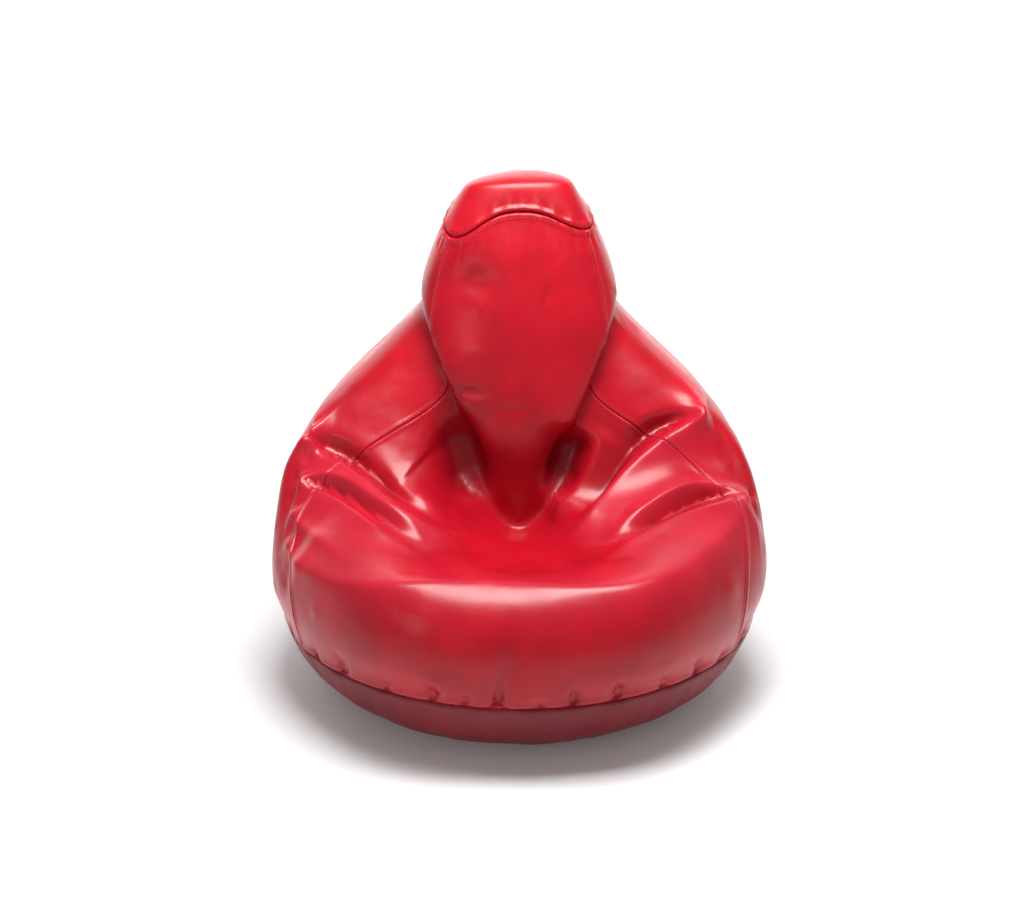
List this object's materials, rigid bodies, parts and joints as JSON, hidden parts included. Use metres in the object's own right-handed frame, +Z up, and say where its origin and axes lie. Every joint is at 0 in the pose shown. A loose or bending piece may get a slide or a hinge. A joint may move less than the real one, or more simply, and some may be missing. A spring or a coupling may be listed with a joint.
{
  "type": "bean bag chair",
  "caption": "Teardrop bean bag chair with headrest, sewn from faux leather panels over a bead-filled zipped liner.",
  "frame": {"origin": "centre of the bag's bounding box on the floor plane", "axes": "+Z up, the chair faces -Y, +X to the right of someone looking along +Y at its front"},
  "size_m": [0.9066, 0.8895, 0.91],
  "materials": {
    "leatherette": "satin faux leather with a fine grain",
    "base_leatherette": "coarser, duller faux leather",
    "zip_tape": "woven polyester tape",
    "zip_coil": "nylon coil",
    "zip_metal": "plated die-cast metal",
    "liner_cloth": "plain white non-woven cloth",
    "beads": "expanded polystyrene beads"
  },
  "bodies": {
    "bag": {"front_panel": "leatherette", "left_panel": "leatherette", "right_panel": "leatherette", "back_panel": "leatherette", "head_cap": "leatherette", "base_panel": "base_leatherette", "grab_loop_anchor": "leatherette", "cover_zip_tape_upper": "zip_tape", "cover_zip_tape_lower": "zip_tape", "cover_zip_coil_upper": "zip_coil", "cover_zip_coil_lower": "zip_coil", "cover_zip_end_stops": "zip_metal", "liner_shell": "liner_cloth", "liner_base_front": "liner_cloth", "liner_base_rear": "liner_cloth", "liner_zip_tape_front": "zip_tape", "liner_zip_tape_rear": "zip_tape", "liner_zip_coil_front": "zip_coil", "liner_zip_coil_rear": "zip_coil", "liner_zip_end_stops": "zip_metal", "bead_fill": "beads"},
    "cover_slider": {"cover_zip_slider": "zip_metal"},
    "cover_pull": {"cover_zip_pull_tab": "zip_metal"},
    "loop": {"grab_loop": "leatherette"},
    "liner_slider": {"liner_zip_slider": "zip_metal"}
  },
  "joints": [
    {"name": "cover_zip", "type": "hinge", "parent": "bag", "child": "cover_slider", "pos_m": [0, 0, 0.135], "axis": [0, 0, 1], "range_deg": [0, 106]},
    {"name": "cover_pull_flip", "type": "hinge", "parent": "cover_slider", "child": "cover_pull", "pos_m": [0.35581, 0.2679, 0.13924], "axis": [0.1719, 0.1294, 0.9766], "range_deg": [-178, 0]},
    {"name": "loop_swing", "type": "hinge", "parent": "bag", "child": "loop", "pos_m": [0, 0.29837, 0.87786], "axis": [1, 0, 0], "range_deg": [0, 140]},
    {"name": "liner_zip", "type": "slide", "parent": "bag", "child": "liner_slider", "axis": [1, 0, 0], "range_m": [0, 0.4845]}
  ]
}
